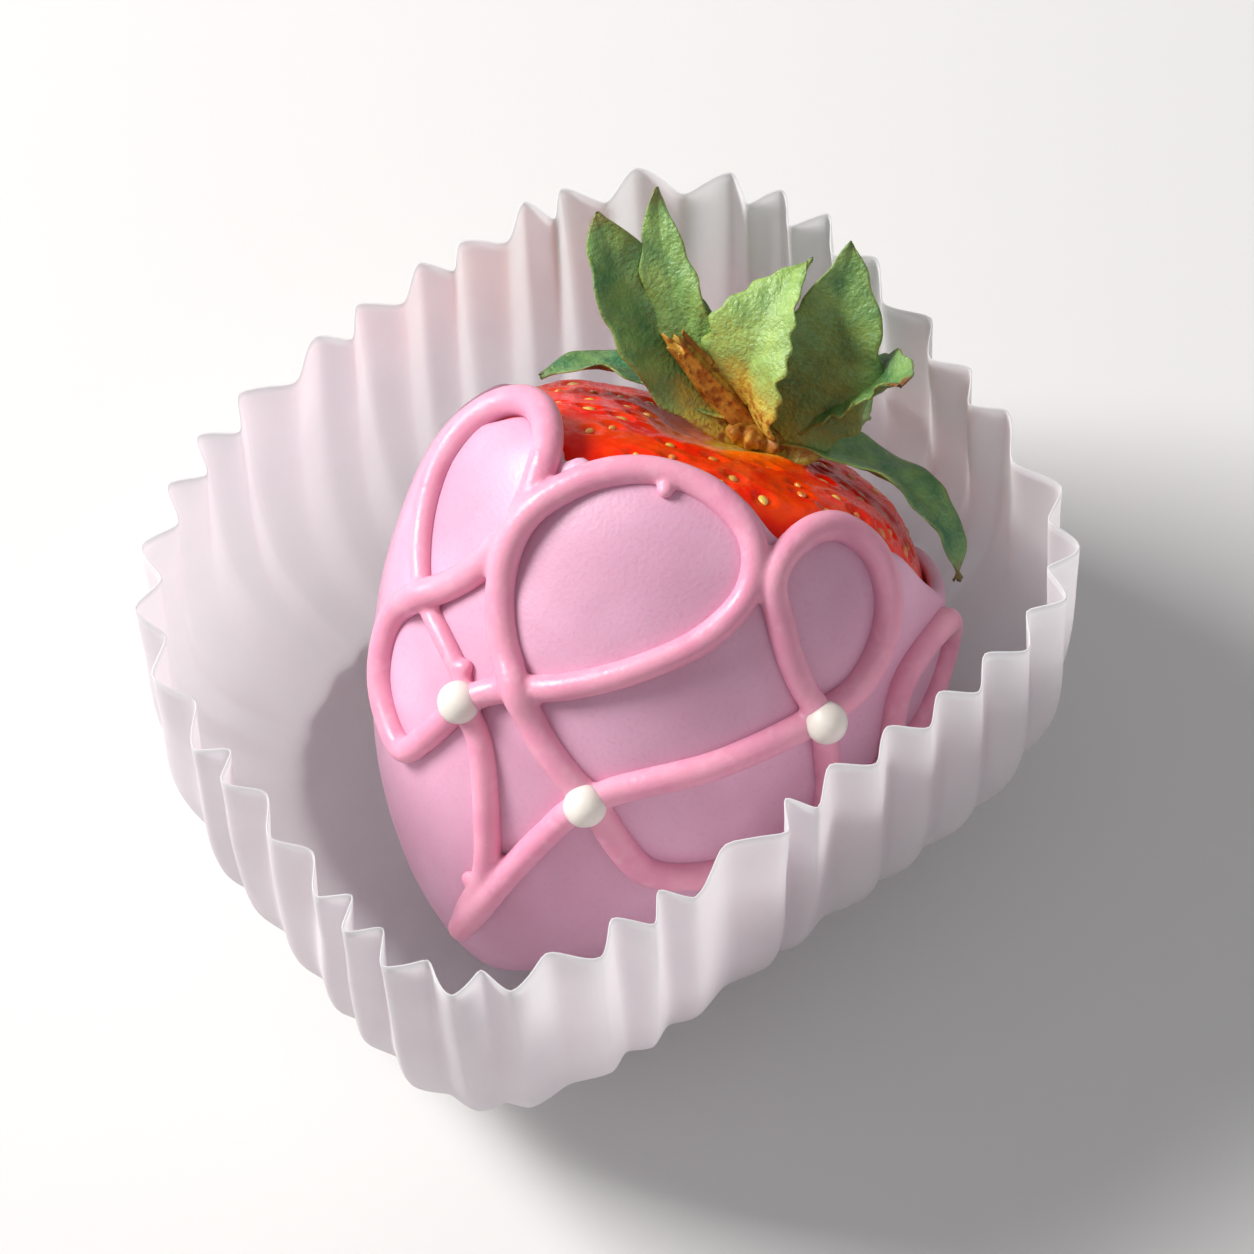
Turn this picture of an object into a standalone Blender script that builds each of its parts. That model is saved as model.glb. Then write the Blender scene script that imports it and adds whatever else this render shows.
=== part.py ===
"""Chocolate coated strawberry lying in its pleated paper case.

Metres, +Z up. The origin is the middle of the case's flat foot, on the surface that it stands on.
X and Y run along the straight sides of the case. The berry lies on its side with its tip low
towards -X and -Y, and its leaves high towards +X and +Y.

Nodes: paper_case, berry, coating (with the piped lines and the pearls) and calyx.
"""

import math
import random

import bmesh
import bpy
from mathutils import Matrix, Vector
from mathutils.bvhtree import BVHTree

MM = 0.001

# The paper case
CASE_HEIGHT = 38.0 * MM
FOOT_HALF_X, FOOT_HALF_Y = 20.0 * MM, 18.0 * MM
RIM_HALF_X, RIM_HALF_Y = 31.2 * MM, 25.8 * MM
RIM_SHIFT = Vector((0.4, -1.1, 0.0)) * MM
FRONT_SQUARENESS, BACK_SQUARENESS = 5.0, 2.9
PLEATS = 40
COLUMNS_PER_PLEAT = 4
PLEAT_DEPTH_FOOT, PLEAT_DEPTH_RIM = 0.4 * MM, 2.8 * MM
PAPER = 0.4 * MM
WALL_ROWS = (0.0, 0.04, 0.13, 0.3, 0.6, 1.0)
FOOT_ROUNDING = 6.0

# The berry: its axis runs from the tip to the leaves, and its widest ring is at height 0
BERRY_RADIUS = 19.1 * MM
SHOULDER_HEIGHT = 14.0 * MM
TIP_LENGTH = 28.2 * MM
TIP_BEND = 3.3 * MM
SHOULDER_SQUARENESS = 5.0
FRONT_TURN, FLANK_SLOPE = math.radians(10.0), 0.26
TIP_TAPER, TIP_ROUNDING = 1.8, 0.7
DIMPLE_DEPTH, DIMPLE_RADIUS = 1.6 * MM, 4.5 * MM
BERRY_CENTRE = Vector((6.0, -2.4, 23.0)) * MM
BERRY_TURN = Matrix.Rotation(math.radians(-60.0), 4, "Z") @ Matrix.Rotation(math.radians(-57.0), 4, "X")
SKIN_SIDES, SKIN_RINGS, SHOULDER_RINGS = 34, 12, 4
BEND_WEIGHT = 6.0 * MM

# The seeds that show on the bare shoulder
SEED_LENGTH, SEED_WIDTH = 1.2 * MM, 0.8 * MM
SEED_ROWS = ((11.6, 12), (14.6, 14))

# The chocolate coat, its piped lines and its pearls
FIT_GAP = 0.3 * MM
COAT = 1.4 * MM
COAT_EDGE = 11.6 * MM
COAT_EDGE_WAVE, COAT_EDGE_DIP = 0.45 * MM, 2.8 * MM
LINE_RADIUS = 1.1 * MM
LINE_LIFT = 0.35 * MM
LINE_STEP = 2.6 * MM
PEARL_RADIUS = 1.6 * MM
PEARL_LIFT = 1.5 * MM

# Places on the coat are (turn in degrees, height in mm): turn 0 faces up, 90 is the right side
PEARL_LEFT, PEARL_MIDDLE, PEARL_RIGHT = (-22.5, -7.3), (11.0, -10.9), (50.0, -0.7)
PEARL_FAR_RIGHT, PEARL_FAR_LEFT = (102.0, -10.5), (-132.0, -9.5)
HAIRPIN = (-41.5, -13.5)
NEAR_TIP = (-17.0, -24.0)
UNDER_RIGHT = (35.0, -15.3)

# Each bow: first leg, crossing, top of the loop, half width of the loop in degrees, last leg
BOWS = (
    ([HAIRPIN, (-55.0, -8.0)], (-42.0, -2.1), (-39.0, 12.0), 15.0,
     [PEARL_LEFT, (-11.0, -15.0), (-8.5, -19.5), NEAR_TIP]),
    ([HAIRPIN, PEARL_LEFT], (-13.0, -5.0), (6.0, 11.5), 24.0, [PEARL_MIDDLE, UNDER_RIGHT]),
    ([NEAR_TIP, (0.0, -18.3), PEARL_MIDDLE, (32.0, -6.0)], PEARL_RIGHT, (43.0, 11.5), 14.5,
     [(66.0, -7.0), (80.0, -13.5)]),
    ([UNDER_RIGHT, (64.0, -11.5)], (81.0, -3.8), (91.0, 6.6), 15.0, [PEARL_FAR_RIGHT, (116.0, -15.5)]),
    ([(-148.0, -13.5), PEARL_FAR_LEFT], (-122.0, -4.8), (-126.0, 9.0), 14.0, [(-112.0, -11.5), (-110.0, -16.5)]),
)

# The calyx grows a little to the right of the axis. Its places are in mm in the berry's own frame.
HUB = Vector((2.4, 0.5, 15.2)) * MM
HUB_RADIUS, HUB_FLATNESS = 2.9 * MM, 0.34
STALK_RADIUS, STALK_TOP = 1.0 * MM, Vector((-4.3, -5.0, 20.3)) * MM
LEAF = 0.5 * MM
LEAF_ROWS, LEAF_COLUMNS = 7, 2
# Each leaf: its middle and its tip, the way its face looks, its width in mm, and how high up it is widest
LEAVES = (
    ((-7.4, -3.5, 20.9), (-13.0, -6.4, 27.6), (0.5, -0.8, 0.3), 6.2, 0.85),
    ((-5.2, -3.2, 22.4), (-9.9, -3.6, 30.5), (0.1, -0.9, -0.1), 3.4, 1.25),
    ((1.2, -4.5, 22.1), (2.9, -3.0, 29.5), (-0.3, -0.9, 0.1), 6.0, 0.8),
    ((5.6, -1.2, 22.5), (5.2, -3.3, 31.7), (0.3, -1.0, 0.1), 7.6, 0.75),
    ((9.3, -0.3, 21.2), (12.9, -6.8, 23.2), (-0.2, -0.8, 0.6), 4.2, 1.1),
    ((-7.5, -0.2, 16.2), (-14.2, -1.3, 13.6), (-0.3, -0.3, 0.9), 5.2, 0.85),
    ((14.0, 2.6, 14.7), (20.0, 3.7, 9.3), (0.5, 0.0, 0.8), 4.6, 0.85),
    ((-5.6, 6.6, 17.4), (-13.0, 12.0, 19.0), (-0.4, -0.2, 0.9), 6.0, 0.85),
    ((5.4, 7.6, 17.6), (6.0, 14.0, 19.0), (0.2, -0.4, 0.9), 5.6, 0.85),
    ((0.2, 8.0, 17.4), (-3.0, 15.0, 17.6), (-0.2, -0.4, 0.9), 5.6, 0.85),
)


def clear_scene():
    for thing in list(bpy.data.objects):
        bpy.data.objects.remove(thing, do_unlink=True)


def make_collection(name):
    collection = bpy.data.collections.new(name)
    bpy.context.scene.collection.children.link(collection)
    return collection


def make_material(name, colour, roughness):
    material = bpy.data.materials.new(name)
    material.use_nodes = True
    shader = material.node_tree.nodes["Principled BSDF"]
    shader.inputs["Base Color"].default_value = (*colour, 1.0)
    shader.inputs["Roughness"].default_value = roughness
    shader.inputs["Metallic"].default_value = 0.0
    return material


def object_from_bmesh(name, bm, collection, material=None):
    mesh = bpy.data.meshes.new(name)
    bm.to_mesh(mesh)
    bm.free()
    thing = bpy.data.objects.new(name, mesh)
    collection.objects.link(thing)
    if material:
        mesh.materials.append(material)
    return thing


def apply_modifiers(thing):
    """Swaps an object's mesh for the one that its modifiers make."""
    bpy.context.view_layer.update()
    evaluated = thing.evaluated_get(bpy.context.evaluated_depsgraph_get())
    mesh = bpy.data.meshes.new_from_object(evaluated)
    thing.modifiers.clear()
    thing.data = mesh


def thicken(thing, thickness, offset, even=True):
    solidify = thing.modifiers.new("Thickness", "SOLIDIFY")
    solidify.thickness = thickness
    solidify.offset = offset
    solidify.use_even_offset = even
    apply_modifiers(thing)


def join_all(thing, pieces):
    """Fuses a collection of pieces with an object by one Boolean union."""
    union = thing.modifiers.new("Fuse", "BOOLEAN")
    union.operation = "UNION"
    union.operand_type = "COLLECTION"
    union.collection = pieces
    union.solver = "EXACT"
    union.use_self = True
    apply_modifiers(thing)
    for piece in list(pieces.objects):
        bpy.data.objects.remove(piece, do_unlink=True)
    bpy.data.collections.remove(pieces)
    keep_largest_body(thing)


def keep_largest_body(thing):
    """Drops what a union leaves loose: scraps, and the walls of a sealed hollow, which fills it."""
    bm = bmesh.new()
    bm.from_mesh(thing.data)
    bodies, left = [], set(bm.verts)
    while left:
        body, edge = set(), [left.pop()]
        while edge:
            vert = edge.pop()
            body.add(vert)
            linked = [e.other_vert(vert) for e in vert.link_edges]
            edge.extend(v for v in linked if v in left)
            left.difference_update(linked)
        bodies.append(body)
    bodies.sort(key=len)
    for body in bodies[:-1]:
        bmesh.ops.delete(bm, geom=list(body), context="VERTS")
    bm.to_mesh(thing.data)
    bm.free()


def finish(thing, sharp_angle):
    thing.data.shade_smooth()
    thing.data.set_sharp_from_angle(angle=math.radians(sharp_angle))


# The berry's skin

def skin_radius(height):
    """Radius of the bare berry at a height on its axis."""
    if height >= 0.0:
        part = min(height / SHOULDER_HEIGHT, 1.0)
        return BERRY_RADIUS * (1.0 - part ** SHOULDER_SQUARENESS) ** (1.0 / SHOULDER_SQUARENESS)
    part = min(-height / TIP_LENGTH, 1.0)
    return BERRY_RADIUS * (1.0 - part ** TIP_TAPER) ** TIP_ROUNDING


def flank(turn):
    """From 0 in front and behind to 1 at the berry's two flanks."""
    return math.sin(turn - FRONT_TURN) ** 8


def narrowing(turn, height):
    """The share of the radius that is left at a turn and height, as the shoulder slopes more at the flanks."""
    return 1.0 - FLANK_SLOPE * (max(height, 0.0) / SHOULDER_HEIGHT) ** 3 * flank(turn)


def axis_shift(height):
    """The tip leans to the left, so the rings below the widest one shift that way."""
    return -TIP_BEND * (max(-height, 0.0) / TIP_LENGTH) ** 1.5


def on_skin(turn, height, proud=0.0):
    """A point that stands proud of the bare skin, at a turn in radians, in the berry's own frame."""
    step = 0.05 * MM
    low, high = max(height - step, -TIP_LENGTH), min(height + step, SHOULDER_HEIGHT)
    along = Vector((skin_radius(high) - skin_radius(low), high - low)).normalized()
    radius = skin_radius(height) * narrowing(turn, height) + proud * along.y
    level = height - proud * along.x
    return Vector((radius * math.sin(turn) + axis_shift(height), -radius * math.cos(turn), level))


def skin_heights(start, end, count):
    """Heights from start to end, closer together where the skin's profile bends."""
    fine = 600
    levels = [start + (end - start) * 0.5 * (1.0 - math.cos(math.pi * i / fine)) for i in range(fine + 1)]
    lengths, slope = [0.0], None
    for low, high in zip(levels, levels[1:]):
        widening = skin_radius(high) - skin_radius(low)
        bearing = math.atan2(high - low, widening)
        bend = abs(bearing - slope) if slope is not None else 0.0
        slope = bearing
        lengths.append(lengths[-1] + math.hypot(high - low, widening) + BEND_WEIGHT * bend)
    heights, i = [], 0
    for k in range(count + 1):
        target = lengths[-1] * k / count
        while i < fine and lengths[i] < target:
            i += 1
        heights.append(levels[i])
    return heights


def bridge_rings(bm, lower, upper):
    count = len(lower)
    for i in range(count):
        j = (i + 1) % count
        bm.faces.new((lower[i], lower[j], upper[j], upper[i]))


def close_ring(bm, ring, middle, outward):
    """Closes a ring with a fan to a middle point; outward is +1 at the top and -1 at the tip."""
    centre = bm.verts.new(middle)
    for i, vert in enumerate(ring):
        following = ring[(i + 1) % len(ring)]
        bm.faces.new((vert, following, centre) if outward > 0 else (following, vert, centre))


def make_berry(collection):
    """The red fruit, with a dimple under the leaves and seeds on the shoulder that shows."""
    bm = bmesh.new()
    rings = []
    levels = skin_heights(-TIP_LENGTH, COAT_EDGE, SKIN_RINGS)[1:]
    levels += skin_heights(COAT_EDGE, SHOULDER_HEIGHT, SHOULDER_RINGS)[1:-1]
    for level in levels:
        turns = (math.tau * i / SKIN_SIDES for i in range(SKIN_SIDES))
        rings.append([bm.verts.new(on_skin(turn, level)) for turn in turns])
    top_radius = skin_radius(levels[-1])
    for share in (0.72, 0.42, 0.2):
        radius = top_radius * share
        level = SHOULDER_HEIGHT - DIMPLE_DEPTH * math.exp(-(radius / DIMPLE_RADIUS) ** 2)
        ring = []
        for i in range(SKIN_SIDES):
            turn = math.tau * i / SKIN_SIDES
            out = radius * narrowing(turn, levels[-1])
            ring.append(bm.verts.new((out * math.sin(turn), -out * math.cos(turn), level)))
        rings.append(ring)
    for lower, upper in zip(rings, rings[1:]):
        bridge_rings(bm, lower, upper)
    close_ring(bm, rings[0], on_skin(0.0, -TIP_LENGTH), -1)
    close_ring(bm, rings[-1], (0.0, 0.0, SHOULDER_HEIGHT - DIMPLE_DEPTH), 1)
    berry = object_from_bmesh("berry", bm, collection, make_material("berry_flesh", (0.72, 0.03, 0.01), 0.3))

    seeds = make_collection("seeds")
    skin = BVHTree.FromPolygons([v.co for v in berry.data.vertices], [list(f.vertices) for f in berry.data.polygons])
    rng = random.Random(11)
    for ring_radius, count in SEED_ROWS:
        radius = ring_radius * MM
        level = SHOULDER_HEIGHT * (1.0 - (radius / BERRY_RADIUS) ** SHOULDER_SQUARENESS) ** (1 / SHOULDER_SQUARENESS)
        for i in range(count):
            turn = math.tau * (i + rng.uniform(-0.2, 0.2)) / count + ring_radius
            place, outward, _, _ = skin.find_nearest(on_skin(turn, level))
            seed = bmesh.new()
            bmesh.ops.create_uvsphere(seed, u_segments=6, v_segments=4, radius=0.5)
            turned = outward.to_track_quat("X", "Z").to_matrix().to_4x4()
            size = Matrix.Diagonal((0.55 * SEED_WIDTH, SEED_WIDTH, SEED_LENGTH, 1.0))
            seed.transform(Matrix.Translation(place + outward * 0.05 * MM) @ turned @ size)
            object_from_bmesh("seed", seed, seeds)
    join_all(berry, seeds)
    finish(berry, 50.0)
    return berry


# The coat

def coat_edge(turn):
    """Height of the coat's uneven upper edge at a turn in radians. It dips at the flanks."""
    wave = math.sin(3.0 * turn + 0.6) + 0.45 * math.sin(7.0 * turn)
    return COAT_EDGE + COAT_EDGE_WAVE * wave - COAT_EDGE_DIP * flank(turn)


def on_coat(place, lift):
    turn, height = place
    return on_skin(math.radians(turn), height * MM, FIT_GAP + COAT + lift)


def smooth_route(knots, step):
    """Points about a step apart on a centripetal spline through the knots."""
    knots = [knots[0] * 2 - knots[1]] + knots + [knots[-1] * 2 - knots[-2]]
    route = []
    for p0, p1, p2, p3 in zip(knots, knots[1:], knots[2:], knots[3:]):
        t1 = max((p1 - p0).length, 1e-6) ** 0.5
        t2 = t1 + max((p2 - p1).length, 1e-6) ** 0.5
        t3 = t2 + max((p3 - p2).length, 1e-6) ** 0.5
        count = max(1, round((p2 - p1).length / step))
        for i in range(count):
            t = t1 + (t2 - t1) * i / count
            a1 = p0.lerp(p1, t / t1)
            a2 = p1.lerp(p2, (t - t1) / (t2 - t1))
            a3 = p2.lerp(p3, (t - t2) / (t3 - t2))
            b1 = a1.lerp(a2, t / t2)
            b2 = a2.lerp(a3, (t - t1) / (t3 - t1))
            route.append(b1.lerp(b2, (t - t1) / (t2 - t1)))
    return route + [knots[-2]]


def bow_places(first_leg, crossing, top, half_width, last_leg):
    """A piped bow: in along one leg, round a drop-shaped loop and out over itself along the other."""
    loop = []
    for i in range(1, 12):
        t = 0.09 + 0.82 * i / 12
        rise = math.sin(math.pi * t) ** 2
        across = half_width * 2.6 * rise * math.cos(math.pi * t)
        loop.append((crossing[0] + (top[0] - crossing[0]) * rise + across,
                     crossing[1] + (top[1] - crossing[1]) * rise))
    return first_leg + [crossing] + loop + [crossing] + last_leg


def piped_line(places, collection):
    """One piped line: a round tube that lies half sunk on the coat."""
    route = smooth_route([on_coat(place, LINE_LIFT) for place in places], LINE_STEP)
    curve = bpy.data.curves.new("line", "CURVE")
    curve.dimensions = "3D"
    curve.bevel_depth = LINE_RADIUS
    curve.bevel_resolution = 1
    curve.use_fill_caps = True
    spline = curve.splines.new("POLY")
    spline.points.add(len(route) - 1)
    for point, place in zip(spline.points, route):
        point.co = (*place, 1.0)
    guide = bpy.data.objects.new("line", curve)
    collection.objects.link(guide)
    bpy.context.view_layer.update()
    mesh = bpy.data.meshes.new_from_object(guide.evaluated_get(bpy.context.evaluated_depsgraph_get()))
    bpy.data.objects.remove(guide, do_unlink=True)
    bm = bmesh.new()
    bm.from_mesh(mesh)
    bmesh.ops.remove_doubles(bm, verts=bm.verts, dist=0.01 * MM)
    bmesh.ops.recalc_face_normals(bm, faces=bm.faces)
    object_from_bmesh("line", bm, collection)


def make_coating(collection):
    """The pink chocolate coat, open at the shoulder, with its piped bows and sugar pearls."""
    bm = bmesh.new()
    levels = skin_heights(-TIP_LENGTH, COAT_EDGE, SKIN_RINGS)[1:]
    rings = []
    for k, level in enumerate(levels):
        ring = []
        for i in range(SKIN_SIDES):
            turn = math.tau * i / SKIN_SIDES
            raised = level + (coat_edge(turn) - COAT_EDGE) * ((k + 1) / len(levels)) ** 4
            ring.append(bm.verts.new(on_skin(turn, raised, FIT_GAP)))
        rings.append(ring)
    for lower, upper in zip(rings, rings[1:]):
        bridge_rings(bm, lower, upper)
    close_ring(bm, rings[0], on_skin(0.0, -TIP_LENGTH) - Vector((0.0, 0.0, FIT_GAP)), -1)
    bmesh.ops.triangulate(bm, faces=bm.faces)
    coating = object_from_bmesh("coating", bm, collection, make_material("pink_chocolate", (0.78, 0.42, 0.6), 0.35))
    thicken(coating, COAT, 1.0)

    trims = make_collection("trims")
    for first_leg, crossing, top, half_width, last_leg in BOWS:
        piped_line(bow_places(first_leg, crossing, top, half_width, last_leg), trims)
    for place in (PEARL_LEFT, PEARL_MIDDLE, PEARL_RIGHT, PEARL_FAR_RIGHT, PEARL_FAR_LEFT):
        pearl = bmesh.new()
        bmesh.ops.create_icosphere(pearl, subdivisions=2, radius=PEARL_RADIUS)
        pearl.transform(Matrix.Translation(on_coat(place, PEARL_LIFT)))
        object_from_bmesh("pearl", pearl, trims)
    join_all(coating, trims)
    finish(coating, 60.0)
    return coating


# The calyx

def leaf_width(part, width, belly):
    """Half width of a leaf at a part of its length: a narrow foot, then full, then a pointed tip."""
    return 0.5 * width * (0.34 * (1.0 - part) + 1.02 * math.sin(math.pi * part ** belly) ** 0.9) + 0.25 * MM


def make_leaf(middle, tip, looks, width, belly, collection):
    """A thin wavy leaf, folded a little along its rib, which bends from the hub through its middle to its tip."""
    middle, tip = Vector(middle) * MM, Vector(tip) * MM
    bend = middle * 2 - (HUB + tip) / 2
    bm = bmesh.new()
    rows = []
    for k in range(LEAF_ROWS + 1):
        part = k / LEAF_ROWS
        rib = HUB.lerp(bend, part).lerp(bend.lerp(tip, part), part)
        along = (bend - HUB).lerp(tip - bend, part).normalized()
        side = along.cross(Vector(looks)).normalized()
        face = side.cross(along)
        row, half = [], leaf_width(part, width * MM, belly)
        for c in range(LEAF_COLUMNS + 1):
            across = 2.0 * c / LEAF_COLUMNS - 1.0
            fold = 0.32 * abs(across) * half
            wave = 0.35 * MM * across * math.sin(math.tau * part * 1.4 + width)
            row.append(bm.verts.new(rib + side * across * half + face * (fold + wave)))
        rows.append(row)
    for near, far in zip(rows, rows[1:]):
        for c in range(LEAF_COLUMNS):
            bm.faces.new((near[c], near[c + 1], far[c + 1], far[c]))
    bmesh.ops.triangulate(bm, faces=bm.faces)
    leaf = object_from_bmesh("leaf", bm, collection)
    thicken(leaf, LEAF, 0.0, even=False)


def make_calyx(collection):
    """The green leaves and the cut stalk, grown together on a small hub."""
    hub = bmesh.new()
    bmesh.ops.create_uvsphere(hub, u_segments=16, v_segments=8, radius=HUB_RADIUS)
    hub.transform(Matrix.Translation(HUB) @ Matrix.Diagonal((1.0, 1.0, HUB_FLATNESS, 1.0)))
    calyx = object_from_bmesh("calyx", hub, collection, make_material("leaf_green", (0.03, 0.11, 0.025), 0.5))

    pieces = make_collection("leaves")
    for leaf in LEAVES:
        make_leaf(*leaf, pieces)
    stalk = bmesh.new()
    rise = STALK_TOP - HUB
    bmesh.ops.create_cone(stalk, cap_ends=True, segments=10, radius1=STALK_RADIUS * 1.3, radius2=STALK_RADIUS,
                          depth=rise.length)
    lean = rise.to_track_quat("Z", "Y").to_matrix().to_4x4()
    stalk.transform(Matrix.Translation((HUB + STALK_TOP) / 2) @ lean)
    object_from_bmesh("stalk", stalk, pieces)
    join_all(calyx, pieces)
    finish(calyx, 50.0)
    return calyx


# The paper case

def case_outline(turn, half_x, half_y):
    """A point on a rounded rectangle, squarer in front than at the back, by its direction from the middle."""
    c, s = math.cos(turn), math.sin(turn)
    power = BACK_SQUARENESS if s > 0.0 else FRONT_SQUARENESS
    reach = (abs(c / half_x) ** power + abs(s / half_y) ** power) ** (-1.0 / power)
    return Vector((reach * c, reach * s, 0.0))


def even_turns(count):
    """Directions that divide the case's outline into equal lengths."""
    fine = 3600
    ring = [case_outline(math.tau * i / fine, RIM_HALF_X, RIM_HALF_Y) for i in range(fine + 1)]
    lengths = [0.0]
    for here, following in zip(ring, ring[1:]):
        lengths.append(lengths[-1] + (following - here).length)
    turns, i = [], 0
    for k in range(count):
        while lengths[i] < lengths[-1] * k / count:
            i += 1
        turns.append(math.tau * i / fine)
    return turns


def case_point(turn, column, part):
    """A point of the pleated wall: part 0 is at the foot and 1 at the rim."""
    spread = 1.0 - (1.0 - part) ** FOOT_ROUNDING
    half_x = FOOT_HALF_X + (RIM_HALF_X - FOOT_HALF_X) * spread
    half_y = FOOT_HALF_Y + (RIM_HALF_Y - FOOT_HALF_Y) * spread
    place = case_outline(turn, half_x, half_y)
    tangent = case_outline(turn + 0.01, half_x, half_y) - case_outline(turn - 0.01, half_x, half_y)
    outward = Vector((tangent.y, -tangent.x, 0.0)).normalized()
    depth = PLEAT_DEPTH_FOOT + (PLEAT_DEPTH_RIM - PLEAT_DEPTH_FOOT) * part
    fold = (1.0, 0.0, -1.0, 0.0)[column % COLUMNS_PER_PLEAT]
    return place + RIM_SHIFT * spread + outward * 0.5 * depth * fold + Vector((0.0, 0.0, CASE_HEIGHT * part))


def make_case(collection):
    """The white pleated paper case: one folded sheet with a flat foot."""
    bm = bmesh.new()
    turns = even_turns(PLEATS * COLUMNS_PER_PLEAT)
    rows = [[bm.verts.new(case_point(turn, i, part)) for i, turn in enumerate(turns)] for part in WALL_ROWS]
    for lower, upper in zip(rows, rows[1:]):
        bridge_rings(bm, lower, upper)
    bmesh.ops.triangulate(bm, faces=bm.faces)
    bm.faces.new(list(reversed(rows[0])))
    case = object_from_bmesh("paper_case", bm, collection, make_material("case_paper", (0.9, 0.9, 0.9), 0.6))
    thicken(case, PAPER, -1.0)
    return case


def main():
    clear_scene()
    parts = make_collection("chocolate_strawberry")
    make_case(parts)
    for piece in (make_berry(parts), make_coating(parts), make_calyx(parts)):
        piece.matrix_world = Matrix.Translation(BERRY_CENTRE) @ BERRY_TURN


main()
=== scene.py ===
# %% [markdown]
# # A coated strawberry in its pleated paper case
# A strawberry was dipped in pink chocolate up to its shoulder, then bows were piped over it and sugar pearls
# were set where the bows cross. It lies on its side in a white paper case, so that its leaves rise over one
# end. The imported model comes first, because every piece below is made around its solids and in its frame.

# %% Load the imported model
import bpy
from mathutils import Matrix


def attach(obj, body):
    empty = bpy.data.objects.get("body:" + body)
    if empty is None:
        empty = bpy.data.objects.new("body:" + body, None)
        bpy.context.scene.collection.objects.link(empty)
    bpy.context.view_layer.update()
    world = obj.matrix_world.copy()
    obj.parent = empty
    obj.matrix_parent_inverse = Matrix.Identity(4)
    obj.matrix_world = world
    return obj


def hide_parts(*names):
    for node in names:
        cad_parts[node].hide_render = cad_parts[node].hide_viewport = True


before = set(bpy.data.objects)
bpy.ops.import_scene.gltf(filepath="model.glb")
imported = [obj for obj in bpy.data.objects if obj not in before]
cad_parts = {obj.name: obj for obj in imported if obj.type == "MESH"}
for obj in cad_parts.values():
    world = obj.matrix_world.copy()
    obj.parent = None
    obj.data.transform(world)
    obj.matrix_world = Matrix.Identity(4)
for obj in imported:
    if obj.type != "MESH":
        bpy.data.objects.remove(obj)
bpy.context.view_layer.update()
print("solids:", ", ".join(sorted(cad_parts)))

# %% Tools
import math
import random

import bpy
import numpy as np
from mathutils import Matrix, Vector, noise

MM = 0.001
TAU = 2.0 * math.pi

# %% [markdown]
# ## Where the eye and the lamps are
# The eye looks steeply down from the front left, from almost a metre away, through a long lens that shows
# the one berry large. The light is one broad soft lamp at the upper left, as a window would give, a weaker
# one opposite so that the folds on the far side keep some form, and a pale surround.

# %% Camera
EYE = Vector((-0.2193, -0.3280, 0.8756))
LOOKS_AT = Vector((0.0040, -0.0008, 0.0200))
ROLL = math.radians(-2.9)
LENS_FOR_WHOLE_PHOTO = 120.4
CLOSER = 3.0

camera_data = bpy.data.cameras.new("camera")
camera_data.sensor_width = 36.0
camera_data.lens = LENS_FOR_WHOLE_PHOTO * CLOSER
camera = bpy.data.objects.new("camera", camera_data)
looking = (LOOKS_AT - EYE).to_track_quat("-Z", "Y").to_matrix().to_4x4()
camera.matrix_world = Matrix.Translation(EYE) @ looking @ Matrix.Rotation(ROLL, 4, "Z")
bpy.context.scene.collection.objects.link(camera)
bpy.context.scene.camera = camera
print("camera", round((LOOKS_AT - EYE).length, 3), "m away")

# %% Lamps and surround
def add_lamp(name, place, size, power, colour):
    """A square soft lamp that faces the berry."""
    data = bpy.data.lights.new(name, "AREA")
    data.size, data.energy, data.color = size, power, colour
    lamp = bpy.data.objects.new(name, data)
    facing = (LOOKS_AT - Vector(place)).to_track_quat("-Z", "Y").to_matrix().to_4x4()
    lamp.matrix_world = Matrix.Translation(place) @ facing
    bpy.context.scene.collection.objects.link(lamp)
    print(name, "lamp", power, "W")


# Each lamp's place and size in metres, its power in watts and its colour
add_lamp("window", (-0.35, 0.53, 0.54), 0.34, 9.6, (1.0, 0.985, 0.965))
add_lamp("far_side", (0.10, -0.62, 0.55), 0.60, 0.7, (1.0, 0.98, 0.97))
surround = bpy.data.worlds.new("surround")
surround.use_nodes = True
background = surround.node_tree.nodes["Background"].inputs
background["Color"].default_value = (0.97, 0.975, 1.0, 1.0)
background["Strength"].default_value = 0.30
bpy.context.scene.world = surround
bpy.context.scene.view_settings.view_transform = "Standard"

# %% [markdown]
# ## A small language for finishes
# Shaders read best as sums. A Wire stands for a socket, and Python's own arithmetic on it adds Math nodes.
# A Finish holds one material, adds every other node through one method and mixes colours with the Mix node,
# because Math would turn a colour grey.

# %% Wires and finishes
class Wire:
    """An output socket. Arithmetic on it adds Math nodes to its finish."""

    def __init__(self, finish, socket):
        self.finish, self.socket = finish, socket

    def math(self, operation, *values):
        return self.finish.node("ShaderNodeMath", {"operation": operation}, dict(enumerate(values)))

    def __add__(self, other):
        return self.math("ADD", self, other)

    def __sub__(self, other):
        return self.math("SUBTRACT", self, other)

    def __rsub__(self, other):
        return self.math("SUBTRACT", other, self)

    def __mul__(self, other):
        return self.math("MULTIPLY", self, other)

    def __abs__(self):
        return self.math("ABSOLUTE", self)

    __radd__, __rmul__ = __add__, __mul__

    def goes(self, low, high, start=0.0, end=1.0):
        """Goes smoothly from start to end while the value goes from low to high."""
        return self.finish.node("ShaderNodeMapRange", {"interpolation_type": "SMOOTHSTEP"},
                                {0: self, 1: low, 2: high, 3: start, 4: end})


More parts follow.
